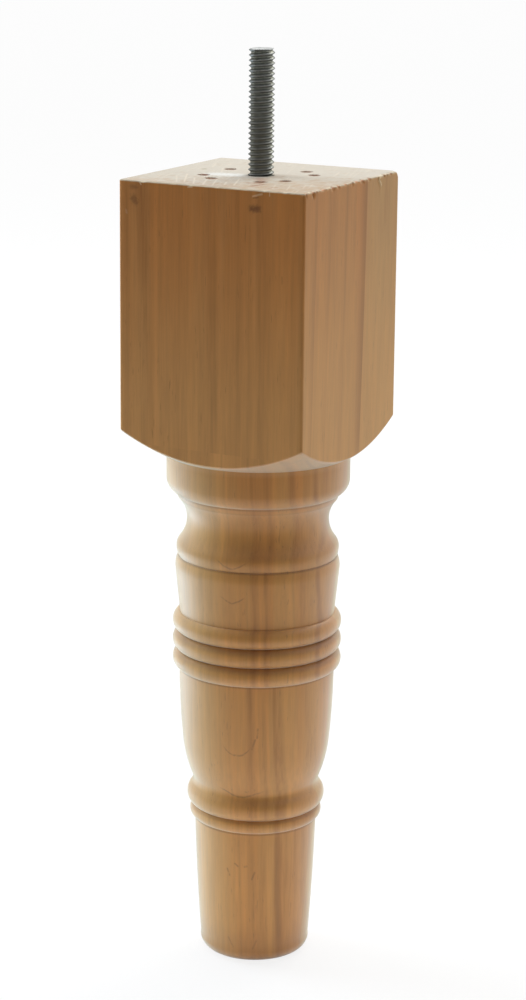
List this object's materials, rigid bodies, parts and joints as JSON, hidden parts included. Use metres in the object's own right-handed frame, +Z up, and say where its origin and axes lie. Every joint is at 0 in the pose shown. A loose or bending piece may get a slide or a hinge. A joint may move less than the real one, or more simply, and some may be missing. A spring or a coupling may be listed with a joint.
{
  "type": "turned furniture leg",
  "caption": "Turned wooden furniture leg with a square block, beads, a cove and a tapered round foot, fastened by a threaded stud in its top face.",
  "frame": {"origin": "middle of the foot's underside, on the floor", "axes": "+Z up along the turning axis, X and Y square to the faces of the block"},
  "size_m": [0.051, 0.051, 0.2342],
  "materials": {
    "wood": "bare, sanded hardwood with a straight grain",
    "zinc_steel": "zinc plated, grey"
  },
  "bodies": {
    "root": {"turned_leg": "wood", "hanger_bolt": "zinc_steel"}
  },
  "joints": []
}
